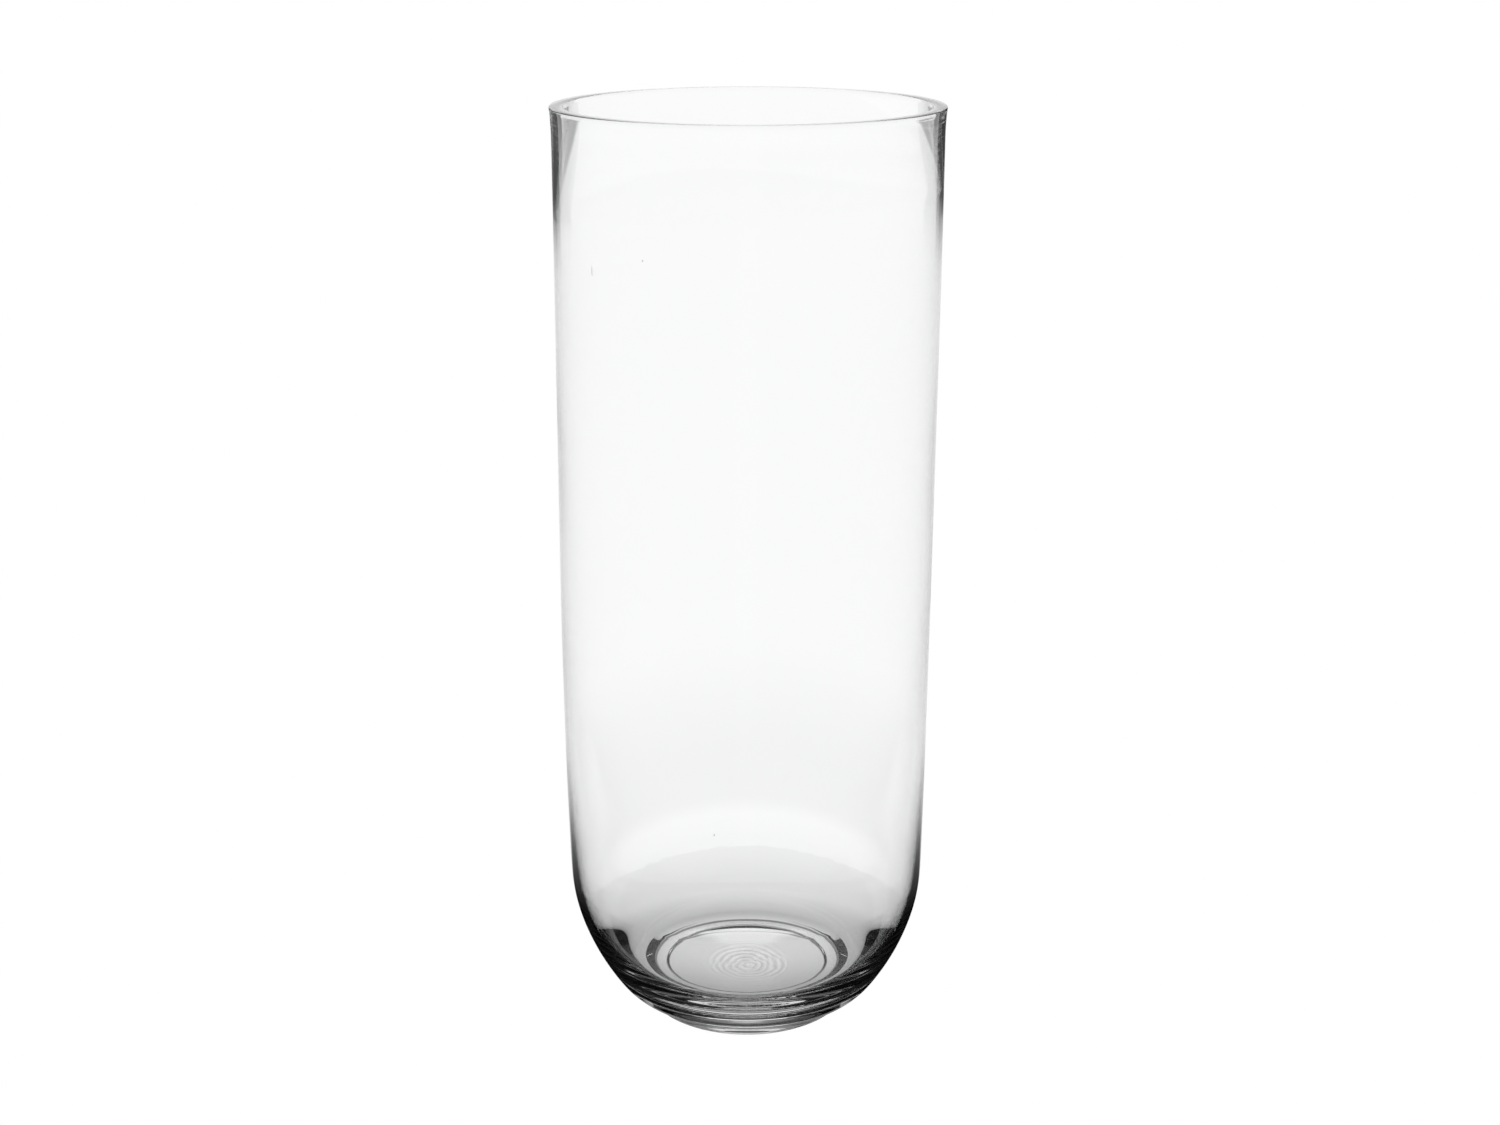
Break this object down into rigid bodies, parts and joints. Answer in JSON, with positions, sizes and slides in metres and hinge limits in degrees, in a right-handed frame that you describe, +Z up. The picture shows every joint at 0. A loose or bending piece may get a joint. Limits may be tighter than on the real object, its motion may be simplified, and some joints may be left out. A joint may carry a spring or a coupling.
{
  "type": "glass cylinder vase",
  "caption": "Tall clear glass cylinder vase with a rounded bottom, a thick floor, a low foot ring and a cut rim.",
  "frame": {"origin": "centre of the foot, on the surface that the vase stands on", "axes": "+Z up along the axis of the vase, towards the rim; +X and +Y are any two square directions, because the vase is round"},
  "size_m": [0.1616, 0.1616, 0.4],
  "materials": {
    "clear_glass": "clear, fire-polished, with a cut and polished rim"
  },
  "bodies": {
    "root": {"vase": "clear_glass"}
  },
  "joints": []
}
